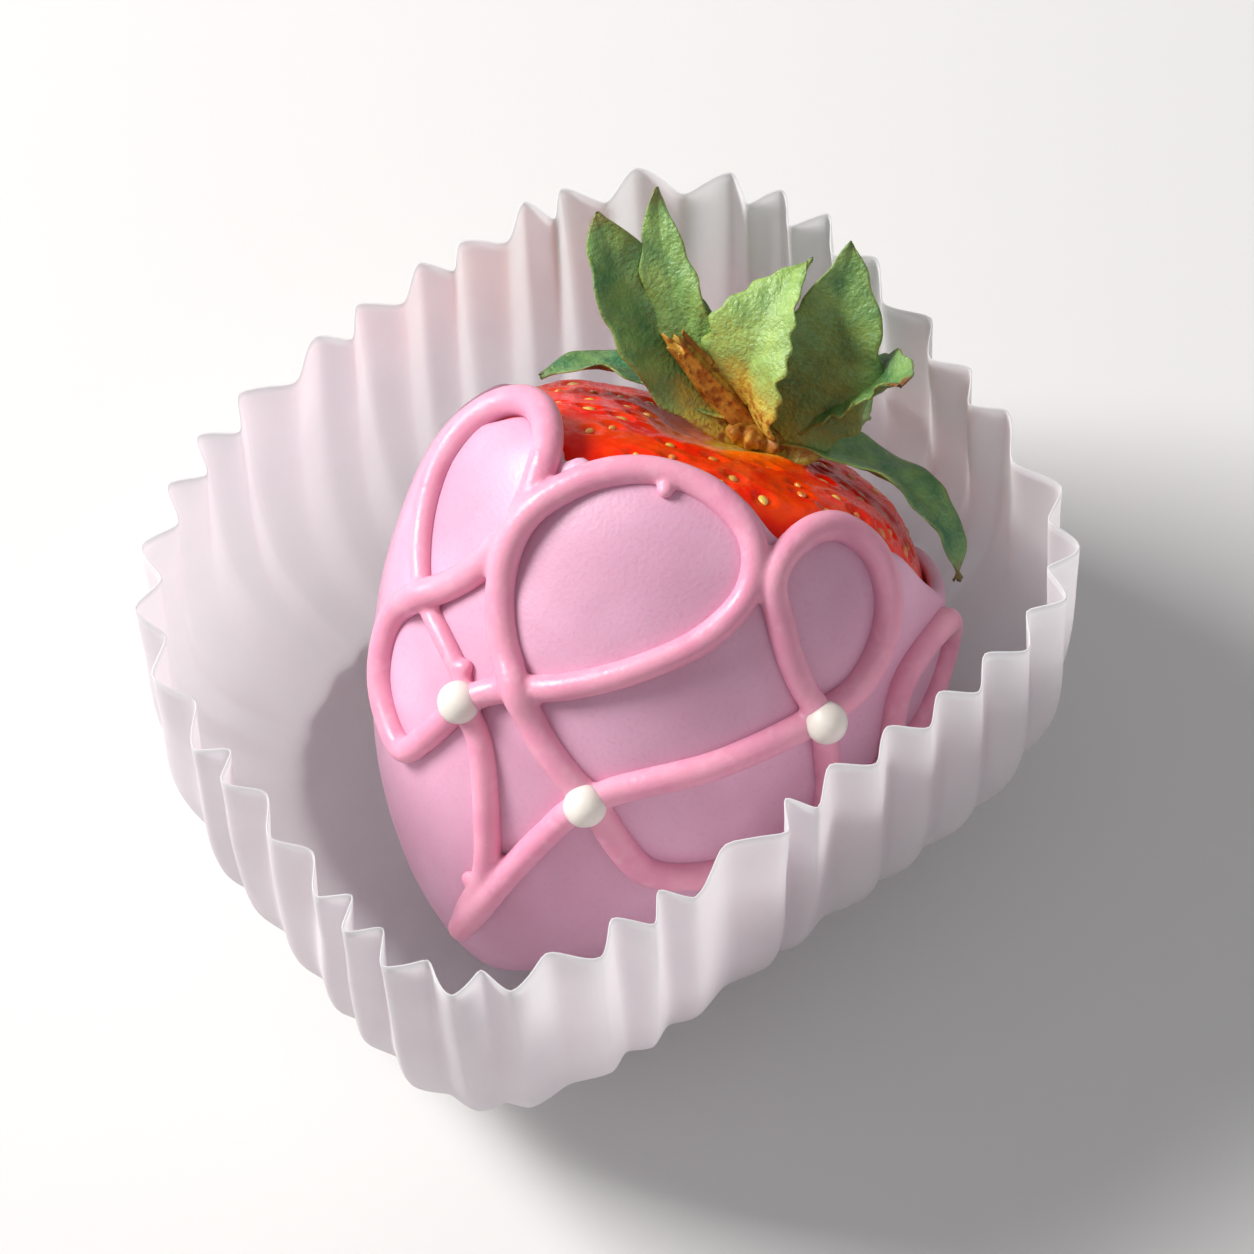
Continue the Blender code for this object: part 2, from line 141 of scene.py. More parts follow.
class Finish:
    """One material, made of nodes."""

    def __init__(self, name, **settings):
        self.material = bpy.data.materials.new(name)
        self.material.use_nodes = True
        self.tree = self.material.node_tree
        self.shader = self.tree.nodes["Principled BSDF"]
        self.set(**settings)

    def set(self, **settings):
        """Sets the shader's sockets by name, with a line for each space: Base_Color=wire."""
        for name, value in settings.items():
            self.feed(self.shader.inputs[name.replace("_", " ")], value)

    def feed(self, socket, value):
        if isinstance(value, Wire):
            self.tree.links.new(value.socket, socket)
        else:
            socket.default_value = value

    def node(self, kind, settings, sockets, output=0):
        """Adds a node: its settings first, then the values or wires of its sockets."""
        node = self.tree.nodes.new(kind)
        for name, value in settings.items():
            setattr(node, name, value)
        for key, value in sockets.items():
            self.feed(node.inputs[key], value)
        return Wire(self, node.outputs[output])

    def blend(self, share, first, second):
        """Mixes two colours."""
        return self.node("ShaderNodeMix", {"data_type": "RGBA"}, {0: share, 6: first, 7: second}, output=2)

    def mottle(self, size, detail=2.0, stretch=(1.0, 1.0, 1.0), rough=0.5):
        """Cloudy noise from 0 to 1 with features of about this size in metres."""
        place = self.node("ShaderNodeTexCoord", {}, {}, output=3)
        place = self.node("ShaderNodeVectorMath", {"operation": "MULTIPLY"}, {0: place, 1: stretch})
        return self.node("ShaderNodeTexNoise", {}, {"Vector": place, "Scale": 1.0 / size, "Detail": detail,
                                                    "Roughness": rough})

    def painted(self, name):
        """A number that the mesh carries at its points."""
        return self.node("ShaderNodeAttribute", {"attribute_name": name}, {}, output=2)

    def bump(self, relief, depth, strength=1.0):
        """Lets a relief from 0 to 1 stand up by a depth in metres."""
        sockets = {"Height": relief, "Distance": depth, "Strength": strength}
        self.set(Normal=self.node("ShaderNodeBump", {}, sockets))


def tint(red, green, blue):
    """A colour as a screen shows it, 0 to 255, in the linear light that shaders mix."""
    shares = (value / 255.0 for value in (red, green, blue))
    return tuple(s / 12.92 if s <= 0.04045 else ((s + 0.055) / 1.055) ** 2.4 for s in shares) + (1.0,)


# %% [markdown]
# ## Meshes from grids
# Most pieces here are a grid of points bent into a form. One helper makes the faces of such a grid, and
# another turns points and faces into an object that rides with the model and stands for one of its solids.

# %% Mesh helpers
def as_points(x, y, z):
    """Points from their coordinates, each of which may be a grid, a row, a column or one number."""
    return np.stack(np.broadcast_arrays(x, y, z), axis=-1)


def grid_faces(rows, columns, around=False, first=0, flip=False):
    """Four-sided faces of a grid of points that are numbered row by row from first on."""
    faces = []
    for r in range(rows - 1):
        for c in range(columns if around else columns - 1):
            d = (c + 1) % columns
            face = [first + r * columns + c, first + r * columns + d,
                    first + (r + 1) * columns + d, first + (r + 1) * columns + c]
            faces.append(face[::-1] if flip else face)
    return faces


def make_piece(name, points, faces, finish, node, painted=None):
    """An object that rides with the model, stands for a solid and has a finish from a slot."""
    mesh = bpy.data.meshes.new(name)
    mesh.from_pydata(np.asarray(points).tolist(), [], faces)
    for key, values in (painted or {}).items():
        numbers = mesh.attributes.new(key, "FLOAT", "POINT")
        numbers.data.foreach_set("value", np.asarray(values, dtype=np.float32))
    mesh.shade_smooth()
    piece = bpy.data.objects.new(name, mesh)
    bpy.context.scene.collection.objects.link(piece)
    settle(piece, finish, node)
    return piece


def settle(piece, finish, node):
    """Gives a piece its finish, its solid and its slot, and says how fine it is."""
    piece.data.materials.clear()
    piece.data.materials.append(finish.material)
    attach(piece, "root")
    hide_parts(node)
    print(piece.name, sum(len(face.vertices) - 2 for face in piece.data.polygons), "triangles")


def closed_round(name, rings, finish, node, painted=None):
    """A closed body of rings of points, with a pole at either end in place of its first and last ring."""
    rings = np.asarray(rings)
    count, columns = rings.shape[:2]
    inner = rings[1:-1].reshape(-1, 3)
    points = np.vstack((inner, rings[0].mean(axis=0), rings[-1].mean(axis=0)))
    low, high = len(inner), len(inner) + 1
    faces = grid_faces(count - 2, columns, around=True)
    last = (count - 3) * columns
    for c in range(columns):
        d = (c + 1) % columns
        faces.append([d, c, low])
        faces.append([last + c, last + d, high])
    return make_piece(name, points, faces, finish, node, painted)


# %% [markdown]
# ## The berry's form
# Everything on the berry follows one profile: a rounded cone below its widest ring and a flat shoulder above
# it, spun round an axis that lies low at the tip. Places on it are given by a turn round the axis, where 0
# faces up, and a height along the axis from the widest ring. The same numbers drive the solids.

# %% Profile of the bare berry
BERRY_RADIUS = 19.1 * MM
SHOULDER_HEIGHT, TIP_LENGTH, TIP_BEND = 14.0 * MM, 28.2 * MM, 3.3 * MM
SHOULDER_SQUARENESS, TIP_TAPER, TIP_ROUNDING = 5.0, 1.8, 0.7
FRONT_TURN, FLANK_SLOPE = math.radians(10.0), 0.26
DIMPLE_DEPTH, DIMPLE_RADIUS = 1.6 * MM, 4.5 * MM
BERRY = (Matrix.Translation(Vector((6.0, -2.4, 23.0)) * MM)
         @ Matrix.Rotation(math.radians(-60.0), 4, "Z") @ Matrix.Rotation(math.radians(-57.0), 4, "X"))

fall = 1.0 - np.linspace(0.0, 1.0, 2000) ** 3
lift = np.linspace(0.0, math.pi / 2, 2000)[1:]
radii = np.concatenate((BERRY_RADIUS * (1.0 - fall ** TIP_TAPER) ** TIP_ROUNDING,
                        BERRY_RADIUS * np.cos(lift) ** (2.0 / SHOULDER_SQUARENESS)))
heights = np.concatenate((-TIP_LENGTH * fall, SHOULDER_HEIGHT * np.sin(lift) ** (2.0 / SHOULDER_SQUARENESS)))
heights = heights - np.where(heights > 0.0, DIMPLE_DEPTH * np.exp(-(radii / DIMPLE_RADIUS) ** 2), 0.0)
radii[0] = radii[-1] = 0.0
lengths = np.concatenate(([0.0], np.cumsum(np.hypot(np.diff(radii), np.diff(heights)))))
even = np.linspace(0.0, lengths[-1], 3000)
radii, heights, lengths = np.interp(even, lengths, radii), np.interp(even, lengths, heights), even
facing_out, facing_up = np.gradient(heights, lengths), -np.gradient(radii, lengths)
size = np.hypot(facing_out, facing_up)
facing_out, facing_up = facing_out / size, facing_up / size
print("along the side from tip to dimple:", round(lengths[-1] / MM, 1), "mm")


def way_to(height):
    """How far along the side a height in metres lies, from the tip."""
    top = int(np.argmax(heights))
    return np.interp(height, heights[:top], lengths[:top])


def flank(turn):
    """From 0 in front and behind to 1 at the berry's two flanks."""
    return np.sin(turn - FRONT_TURN) ** 8


def narrowing(turn, level):
    """The share of the radius that is left, as the shoulder slopes more at the flanks."""
    return 1.0 - FLANK_SLOPE * (np.maximum(level, 0.0) / SHOULDER_HEIGHT) ** 3 * flank(turn)


def tip_shift(level):
    """How far the axis lies to one side at a height, because the tip is bent."""
    return -TIP_BEND * (np.maximum(-level, 0.0) / TIP_LENGTH) ** 1.5


def on_berry(turn, way, proud):
    """Points that stand proud of the bare skin, in the berry's frame. A turn is in radians."""
    level = np.interp(way, lengths, heights)
    radius = np.interp(way, lengths, radii) * narrowing(turn, level)
    radius = radius + proud * np.interp(way, lengths, facing_out)
    shift = tip_shift(level)
    level = level + proud * np.interp(way, lengths, facing_up)
    return as_points(radius * np.sin(turn) + shift, -radius * np.cos(turn), level)


def in_place(points, matrix=BERRY):
    """Moves points from the berry's frame to the model's."""
    turned = np.asarray(matrix.to_3x3())
    return np.asarray(points) @ turned.T + np.asarray(matrix.translation)


def uneven(points, size, seed=0.0):
    """Smooth random numbers from about -1 to 1 at points, with features of a size in metres."""
    flat = np.asarray(points).reshape(-1, 3) / size
    values = np.array([noise.noise(Vector(p) + Vector((seed, seed, seed))) for p in flat])
    return values.reshape(np.asarray(points).shape[:-1])


# %% [markdown]
# ## The fruit
# Only a band of the fruit shows, between the chocolate and the leaves, and there it is wet, bright orange-red
# and pitted, with a pale seed in each pit. The pits are real dents in a fine mesh, because a dent catches the
# light at its rim. The seeds are one more mesh, each seed a small drop pressed into its pit.

# %% Where the seeds sit
SEED_RINGS = ((7.6, 9), (10.2, 12), (12.7, 15), (15.0, 18), (16.9, 20), (18.1, 22))     # radius in mm, count
PIT_DEPTH, PIT_WIDTH = 0.30 * MM, 0.85 * MM
HUB, COLLAR = np.array((2.4, 0.5, 15.2)) * MM, 0.7 * MM

draw = random.Random(5)
seed_spots = []
top_start = int(np.argmin(np.abs(heights)))
for ring, (radius, count) in enumerate(SEED_RINGS):
    way = float(np.interp(-radius * MM, -radii[top_start:], lengths[top_start:]))
    for i in range(count):
        turn = TAU * (i + 0.5 * (ring % 2) + draw.uniform(-0.3, 0.3)) / count
        seed_spots.append((turn, way + draw.uniform(-0.55, 0.55) * MM))
spots = on_berry(np.array([s[0] for s in seed_spots]), np.array([s[1] for s in seed_spots]), 0.0)
print(len(seed_spots), "seeds on the shoulder")

# %% Fruit mesh
SHOWS_ABOVE = 8.0 * MM
HIDDEN_ROWS, SHOWN_ROWS, FRUIT_SIDES = 40, 130, 360
BUMP, BUMP_SIZE, FINE_BUMP, FINE_BUMP_SIZE = 0.22 * MM, 3.0 * MM, 0.05 * MM, 0.8 * MM

hidden = np.linspace(0.0, 1.0, HIDDEN_ROWS) * way_to(SHOWS_ABOVE)
shown = np.linspace(way_to(SHOWS_ABOVE), lengths[-1], SHOWN_ROWS)[1:]
ways = np.concatenate((hidden, shown))[:, None]
turns = np.linspace(0.0, TAU, FRUIT_SIDES, endpoint=False)[None, :]
skin = on_berry(turns, ways, 0.0)
relief = np.zeros(skin.shape[:2])
# This mask says how far into a pit a point lies; the fruit's finish darkens the red there as painted shade.
painted_pit_shade = np.zeros(skin.shape[:2])
band = slice(len(hidden), None)
for spot in spots:
    gap = np.linalg.norm(skin[band] - spot, axis=-1) / PIT_WIDTH
    relief[band] += 0.30 * PIT_DEPTH * np.exp(-((gap - 1.35) / 0.5) ** 2) - PIT_DEPTH * np.exp(-gap ** 2)
    painted_pit_shade[band] = np.maximum(painted_pit_shade[band], np.exp(-(gap / 1.15) ** 2))
relief[band] += BUMP * uneven(skin[band], BUMP_SIZE) + FINE_BUMP * uneven(skin[band], FINE_BUMP_SIZE, 3.0)
from_middle = np.broadcast_to(np.interp(ways, lengths, radii), relief.shape)
from_hub = np.hypot(skin[..., 0] - HUB[0], skin[..., 1] - HUB[1]) / MM + (skin[..., 2] < SHOWS_ABOVE) * 100.0
relief += COLLAR * np.exp(-(np.maximum(from_hub - 3.2, 0.0) / 1.8) ** 2)
by_hub = np.exp(-(np.maximum(from_hub - 2.6, 0.0) / 0.8) ** 2)
skin = on_berry(turns, ways, relief)

# %% [markdown]
# The red is deepest near the chocolate and turns orange, then yellow, where the leaves grow out. Under the
# skin the flesh lets light in, which a little subsurface light gives. A clear coat makes it look wet.

# %% Fruit finish
fruit = Finish("fruit_skin", Roughness=0.34, Subsurface_Weight=0.3, Subsurface_Radius=(1.0, 0.25, 0.08),
               Subsurface_Scale=0.0014, Specular_IOR_Level=0.06, Coat_Weight=0.30, Coat_Roughness=0.06)
patches = fruit.mottle(3.2 * MM, 3.0)
grain = fruit.mottle(0.45 * MM, 3.0)
middle = fruit.painted("from_middle")
red = fruit.blend(patches.goes(0.35, 0.68), tint(252, 20, 0), tint(255, 66, 0))
# Painted shade: a deeper red in each pit, where shade falls in the dent.
red = fruit.blend(fruit.painted("painted_pit_shade") * 0.3, red, tint(222, 44, 0))
red = fruit.blend(grain.goes(0.62, 0.8) * 0.35, red, tint(255, 110, 30))
orange = fruit.blend((middle + patches * 2.4).goes(5.0, 10.0, 1.0, 0.0), red, tint(255, 116, 6))
orange = fruit.blend(fruit.painted("by_hub"), orange, tint(244, 196, 62))
fruit.set(Base_Color=orange, Roughness=grain.goes(0.3, 0.75, 0.24, 0.44))
fruit.bump(grain, 0.09 * MM, 0.6)
painted = {"from_middle": from_middle / MM, "painted_pit_shade": painted_pit_shade, "by_hub": by_hub}
painted = {key: np.append(np.asarray(values)[1:-1].ravel(), (values[0, 0], values[-1, 0]))
           for key, values in painted.items()}
closed_round("fruit", in_place(skin), fruit, "berry", painted)

# %% Seeds
SEED_LENGTH, SEED_WIDTH, SEED_HEIGHT = 1.25 * MM, 0.8 * MM, 0.42 * MM
SEED_ROWS, SEED_SIDES = 7, 10
SEED_SINK = 0.62 * PIT_DEPTH


def drop(rows, sides):
    """A closed drop of unit length along x, blunt at one end and pointed at the other."""
    rings = []
    for r in range(rows + 1):
        part = r / rows
        width = math.sin(math.pi * part ** 0.8) ** 0.8 if 0 < r < rows else 0.0
        angles = (TAU * s / sides for s in range(sides))
        rings.append([(part - 0.5, 0.5 * width * math.cos(a), 0.5 * width * math.sin(a)) for a in angles])
    return np.array(rings)


def many(rings, frames):
    """Points and faces of a closed round form, repeated in each of some frames."""
    count, sides = rings.shape[:2]
    one = np.vstack((rings[1:-1].reshape(-1, 3), rings[0].mean(axis=0), rings[-1].mean(axis=0)))
    low, last = (count - 2) * sides, (count - 3) * sides
    points, faces = [], []
    for k, matrix in enumerate(frames):
        first = k * len(one)
        points.append(in_place(one, matrix))
        faces += grid_faces(count - 2, sides, around=True, first=first)
        for s in range(sides):
            t = (s + 1) % sides
            faces.append([first + t, first + s, first + low])
            faces.append([first + last + s, first + last + t, first + low + 1])
    return np.vstack(points), faces


draw = random.Random(8)
frames = []
for turn, way in seed_spots:
    here = Vector(on_berry(turn, way, -SEED_SINK))
    out = (Vector(on_berry(turn, way, 1.0 * MM)) - here).normalized()
    along = (Vector(on_berry(turn, way - 1.0 * MM, 0.0)) - Vector(on_berry(turn, way, 0.0))).normalized()
    along = Matrix.Rotation(draw.uniform(-0.35, 0.35), 3, out) @ (along - out * along.dot(out)).normalized()
    turned = Matrix((along, out.cross(along), out)).transposed().to_4x4()
    size = draw.uniform(0.6, 1.05)
    scale = Matrix.Diagonal((SEED_LENGTH * size, SEED_WIDTH * size, SEED_HEIGHT, 1.0))
    frames.append(BERRY @ Matrix.Translation(here) @ turned @ scale)
seed_points, seed_faces = many(drop(SEED_ROWS, SEED_SIDES), frames)

seed_skin = Finish("seed_skin", Roughness=0.25, Coat_Weight=1.0, Coat_Roughness=0.06)
fleck = seed_skin.mottle(2.6 * MM, 1.0)
seed_skin.set(Base_Color=seed_skin.blend(fleck.goes(0.35, 0.62), tint(238, 196, 84), tint(226, 120, 40)))
seed_skin.bump(seed_skin.mottle(0.2 * MM), 0.05 * MM, 0.4)
make_piece("seeds", seed_points, seed_faces, seed_skin, "berry")

# %% [markdown]
# ## The chocolate coat
# Dipping leaves a coat of even thickness that ends in a round, wavering lip. It is a closed shell: the outer
# face runs up from the tip, rolls over the lip and runs back down inside. Faint swells keep it from looking
# turned on a lathe.

# %% Coat mesh
FIT_GAP, COAT = 0.3 * MM, 1.4 * MM
COAT_EDGE, COAT_EDGE_WAVE, COAT_EDGE_DIP = 11.6 * MM, 0.45 * MM, 2.8 * MM
COAT_SIDES, COAT_ROWS, LIP_ROWS = 300, 120, 12
# Swells and dips of the lip: its turn in degrees, its rise in mm and its width in degrees
LIP_SWELLS = ((-39.0, 0.55, 7.0), (-21.5, -0.75, 2.2), (-14.5, -0.3, 4.0), (0.0, 0.2, 6.0), (31.0, -1.3, 8.0),
              (140.0, -2.6, 26.0), (-136.0, -1.6, 24.0))


def lip_way(turn):
    """Where the coat ends: its waves, its swells and dips, and one nick between the two front bows."""
    wave = np.sin(3.0 * turn + 0.6) + 0.45 * np.sin(7.0 * turn) + 0.18 * np.sin(17.0 * turn + 1.0)
    degrees = (np.degrees(turn) + 180.0) % 360.0 - 180.0
    edge = COAT_EDGE + COAT_EDGE_WAVE * wave - COAT_EDGE_DIP * flank(turn)
    for place, rise, width in LIP_SWELLS:
        edge = edge + rise * MM * np.exp(-((degrees - place) / width) ** 2)
    return way_to(edge)


turns = np.linspace(0.0, TAU, COAT_SIDES, endpoint=False)[None, :]
lip = lip_way(turns)
share = np.linspace(0.0, 1.0, COAT_ROWS)[:, None] ** 0.85
roll = np.linspace(0.0, math.pi, LIP_ROWS + 2)[1:-1, None]
body = lip - COAT / 2
ways = np.vstack((share * body, body + COAT / 2 * np.sin(roll), share[::-1] * body))
over_lip = FIT_GAP + COAT / 2 + COAT / 2 * np.cos(roll) + 0 * lip
proud = np.vstack((np.full_like(share * body, FIT_GAP + COAT), over_lip, np.full_like(share * body, FIT_GAP)))
outside = slice(0, COAT_ROWS + LIP_ROWS)
shell = on_berry(turns, ways, proud)
swells = 0.10 * MM * uneven(shell[outside], 9.0 * MM)
proud[outside] += swells + 0.03 * MM * uneven(shell[outside], 2.5 * MM, 7.0)
shell = on_berry(turns, ways, proud)

# %% [markdown]
# Coloured chocolate is dense and a little waxy: light enters it by about a millimetre, and its surface is
# between dull and glossy. Two near pinks are mixed in soft clouds, so that no large area is quite flat.

# %% Coat finish
chocolate = Finish("pink_coat", Roughness=0.42, Subsurface_Weight=0.22, Subsurface_Radius=(1.0, 0.45, 0.55),
                   Subsurface_Scale=0.0010, Specular_IOR_Level=0.7)
cloud = chocolate.mottle(9.0 * MM, 2.0)
grain = chocolate.mottle(0.35 * MM, 4.0)
pink = chocolate.blend(cloud.goes(0.35, 0.65), tint(227, 174, 201), tint(218, 162, 189))
pink = chocolate.blend(grain.goes(0.5, 0.75) * 0.3, pink, tint(206, 146, 174))
chocolate.set(Base_Color=pink, Roughness=cloud.goes(0.3, 0.7, 0.36, 0.46))
chocolate.bump(grain, 0.05 * MM, 0.6)
closed_round("coat", in_place(shell), chocolate, "coating")

# %% [markdown]
# ## The piped bows
# A bow is piped in one go, so it is one long round line that crosses itself: it swells where the hand slows
# down and thins where it speeds up, and where it crosses an earlier line it climbs over it and melts into it.
# The lines are swept tubes that sink into the coat. A voxel remesh then joins them into one body, and a
# little smoothing rounds the joins, which is how soft chocolate meets soft chocolate.

# %% Routes of the lines
LINE_RADIUS, LINE_LIFT, LINE_STEP = 1.1 * MM, 0.35 * MM, 0.4 * MM
PEARL_LEFT, PEARL_MIDDLE, PEARL_RIGHT = (-22.5, -7.3), (11.0, -10.9), (50.0, -0.7)
PEARL_FAR_RIGHT, PEARL_FAR_LEFT = (102.0, -10.5), (-132.0, -9.5)


def loop(crossing, top, half_width):
    """The drop-shaped loop of a bow that the front doesn't show, between its two crossings."""
    places = []
    for i in range(1, 12):
        t = 0.09 + 0.82 * i / 12
        rise = math.sin(math.pi * t) ** 2
        aside = half_width * 2.6 * rise * math.cos(math.pi * t)
        places.append((crossing[0] + (top[0] - crossing[0]) * rise + aside,
                       crossing[1] + (top[1] - crossing[1]) * rise))
    return [crossing] + places + [crossing]


# Each line: places as (turn in degrees, height in mm), and thickness at its start, middle and end
LINES = (
    ([PEARL_LEFT, (-27.0, -5.7), (-33.5, -4.1), (-42.5, -2.1), (-49.5, 0.8), (-53.5, 4.4), (-54.5, 8.0),
      (-51.0, 11.0), (-44.0, 12.0), (-34.0, 11.9), (-26.0, 10.7), (-23.2, 7.8), (-25.5, 4.4), (-31.5, 0.8),
      (-42.5, -2.3), (-50.5, -3.9), (-55.0, -6.4), (-55.0, -9.6), (-48.5, -12.2), (-41.8, -13.3),
      (-33.0, -11.4), PEARL_LEFT], (0.72, 1.1, 0.95)),
    ([PEARL_LEFT, (-17.0, -5.9), (-2.5, -3.7), (10.0, -0.8), (21.0, 3.0), (26.0, 6.9), (24.0, 9.9),
      (13.5, 11.5), (-0.5, 11.6), (-14.0, 9.9), (-22.0, 6.2), (-23.0, 1.5), (-18.5, -2.3), (-12.0, -4.8),
      (-4.5, -7.7), (5.5, -10.0), PEARL_MIDDLE, (24.5, -14.0), (35.0, -15.3), (64.0, -12.0)]
     + loop((81.0, -3.8), (91.0, 6.6), 15.0) + [PEARL_FAR_RIGHT, (116.0, -15.5)], (0.95, 1.05, 0.95)),
    ([PEARL_LEFT, (-16.5, -10.4), (-11.0, -15.5), (-8.5, -19.4), (-16.5, -23.7)], (0.9, 0.95, 0.95)),
    ([(-17.0, -24.2), (-6.0, -21.2), (-1.5, -18.9), (5.0, -14.8), PEARL_MIDDLE, (19.5, -8.8), (32.0, -6.0),
      (40.0, -3.7), PEARL_RIGHT, (58.0, 2.0), (60.5, 5.6), (58.5, 9.0), (52.5, 11.0), (43.0, 11.6),
      (34.5, 10.7), (30.0, 8.4), (35.5, 4.9), (42.0, 1.9), PEARL_RIGHT, (66.0, -7.0), (80.0, -13.5)],
     (0.95, 1.05, 0.9)),
    ([(-148.0, -13.5), PEARL_FAR_LEFT] + loop((-122.0, -4.8), (-126.0, 9.0), 14.0)
     + [(-112.0, -11.5), (-110.0, -16.5)], (0.9, 1.0, 0.9)),
)


def spline(knots, step):
    """Points about a step apart on a centripetal spline through the knots."""
    knots = [2 * knots[0] - knots[1]] + knots + [2 * knots[-1] - knots[-2]]
    route = []
    for p0, p1, p2, p3 in zip(knots, knots[1:], knots[2:], knots[3:]):
        t1 = max(np.linalg.norm(p1 - p0), 1e-6) ** 0.5
        t2 = t1 + max(np.linalg.norm(p2 - p1), 1e-6) ** 0.5
        t3 = t2 + max(np.linalg.norm(p3 - p2), 1e-6) ** 0.5
        count = max(1, round(np.linalg.norm(p2 - p1) / step))
        for i in range(count):
            t = t1 + (t2 - t1) * i / count
            a1 = p0 + (p1 - p0) * t / t1
            a2 = p1 + (p2 - p1) * (t - t1) / (t2 - t1)
            a3 = p2 + (p3 - p2) * (t - t2) / (t3 - t2)
            b1, b2 = a1 + (a2 - a1) * t / t2, a2 + (a3 - a2) * (t - t1) / (t3 - t1)
            route.append(b1 + (b2 - b1) * (t - t1) / (t2 - t1))
    return np.array(route + [knots[-2]])


def turn_and_way(points):
    """The turn and the way along the side of points near the coat."""
    outer_radii = radii + (FIT_GAP + COAT) * facing_out
    outer_heights = heights + (FIT_GAP + COAT) * facing_up
    across = points[:, 0] - tip_shift(points[:, 2])
    turn = np.arctan2(across, -points[:, 1])
    out = np.hypot(across, points[:, 1]) / narrowing(turn, points[:, 2])
    gaps = (out[:, None] - outer_radii) ** 2 + (points[:, 2:3] - outer_heights) ** 2
    return turn, lengths[np.argmin(gaps, axis=1)]


# %% Tubes that climb over each other
TUBE_SIDES = 20
THICKNESS_STOPS = (0.0, 0.12, 0.3, 0.6, 0.85, 1.0)     # shares of a line's length
CLIMB, CLIMB_REACH = 0.75 * MM, 1.7 * MM


def line_tube(turn, way, lift, radius):
    """Rings of a round tube along a route on the coat, with rounded ends."""
    middle = on_berry(turn, way, FIT_GAP + COAT + lift)
    out = on_berry(turn, way, FIT_GAP + COAT + lift + 1.0 * MM) - middle
    out /= np.linalg.norm(out, axis=1)[:, None]
    ahead = np.gradient(middle, axis=0)
    ahead /= np.linalg.norm(ahead, axis=1)[:, None]
    aside = np.cross(ahead, out)
    aside /= np.linalg.norm(aside, axis=1)[:, None]
    out = np.cross(aside, ahead)
    angles = (TAU * np.arange(TUBE_SIDES) / TUBE_SIDES)[None, :, None]
    spoke = np.cos(angles) * aside[:, None, :] + np.sin(angles) * out[:, None, :]
    rings = list(middle[:, None, :] + radius[:, None, None] * spoke)
    ends = []
    for end, direction in ((0, -1.0), (-1, 1.0)):
        cap = []
        for angle in (0.5, 1.0, 1.35, math.pi / 2):
            centre = middle[end] + ahead[end] * direction * radius[end] * math.sin(angle)
            cap.append(centre + radius[end] * max(math.cos(angle), 0.0) * spoke[end])
        ends.append(cap)
    return np.array(ends[0][::-1] + rings + ends[1])


laid = np.zeros((0, 3))
tube_points, tube_faces, first = [], [], 0
for places, (start, middle, end) in LINES:
    knots = [on_berry(math.radians(t), way_to(h * MM), FIT_GAP + COAT) for t, h in places]
    turn, way = turn_and_way(spline(knots, LINE_STEP))
    for _ in range(3):
        way[1:-1] = 0.25 * way[:-2] + 0.5 * way[1:-1] + 0.25 * way[2:]
    here = on_berry(turn, way, FIT_GAP + COAT)
    climb = np.zeros(len(here))
    for i, point in enumerate(here):
        below = np.vstack((laid, here[:max(0, i - 12)]))
        if len(below):
            climb[i] = CLIMB * math.exp(-(np.min(np.linalg.norm(below - point, axis=1)) / CLIMB_REACH) ** 2)
    part = np.linspace(0.0, 1.0, len(here))
    radius = LINE_RADIUS * np.interp(part, THICKNESS_STOPS, (start, start, middle, middle, end, end))
    radius = radius * (1.0 + 0.05 * uneven(here, 4.0 * MM, 2.0))
    rings = line_tube(turn, way, LINE_LIFT + climb, radius)
    laid = np.vstack((laid, here))
    count = len(rings)
    tube_points.append(in_place(rings.reshape(-1, 3)))
    tube_faces += grid_faces(count, TUBE_SIDES, around=True, first=first)
    tube_faces.append([first + s for s in range(TUBE_SIDES)][::-1])
    tube_faces.append([first + (count - 1) * TUBE_SIDES + s for s in range(TUBE_SIDES)])
    first += count * TUBE_SIDES
print("metres of line:", round(sum(len(p) for p in tube_points) / TUBE_SIDES * LINE_STEP, 2))

# %% [markdown]
# Where the nozzle stops for a moment, it leaves a small nub. Each is a ball that lies in its line and is
# melted into it with the rest.

# %% Small nubs where the piping stopped for a moment
NUBS = ((-25.4, -5.3), (3.2, 10.9), (-13.5, -20.5))     # turn in degrees, height in mm
NUB_RADIUS, NUB_LIFT = 0.65 * MM, 0.35 * MM

slopes = np.linspace(-math.pi / 2, math.pi / 2, 10)[:, None]
round_about = TAU * np.arange(TUBE_SIDES)[None, :] / TUBE_SIDES
nub = NUB_RADIUS * as_points(np.cos(slopes) * np.cos(round_about), np.cos(slopes) * np.sin(round_about),
                             np.sin(slopes))
for turn, height in NUBS:
    place = on_berry(math.radians(turn), way_to(height * MM), FIT_GAP + COAT + NUB_LIFT)
    points, faces = many(nub, [BERRY @ Matrix.Translation(place)])
    tube_points.append(points)
    tube_faces += [[i + first for i in face] for face in faces]
    first += len(points)
print(len(NUBS), "nubs")

# %% [markdown]
# The lines are a little warmer and glossier than the coat. A second, smaller mottle changes their colour and
# their gloss from place to place, as in any chocolate that is piped by hand.

# %% Lines finish
icing = Finish("piped_pink", Roughness=0.36, Subsurface_Weight=0.3, Subsurface_Radius=(1.0, 0.4, 0.45),
               Subsurface_Scale=0.0010)
cloud, patch = icing.mottle(5.0 * MM, 2.0), icing.mottle(1.3 * MM, 3.0)
grain = icing.mottle(0.4 * MM, 3.0)
rose = icing.blend(cloud.goes(0.35, 0.65), tint(238, 166, 190), tint(230, 152, 180))
icing.set(Base_Color=icing.blend(patch.goes(0.52, 0.7) * 0.4, rose, tint(242, 180, 200)),
          Roughness=patch.goes(0.3, 0.7, 0.28, 0.46))
icing.bump(grain + patch * 0.8, 0.05 * MM, 0.6)

# %% Melt the lines into one body
MELT_VOXEL = 0.2 * MM
MELT_SMOOTHINGS = 8


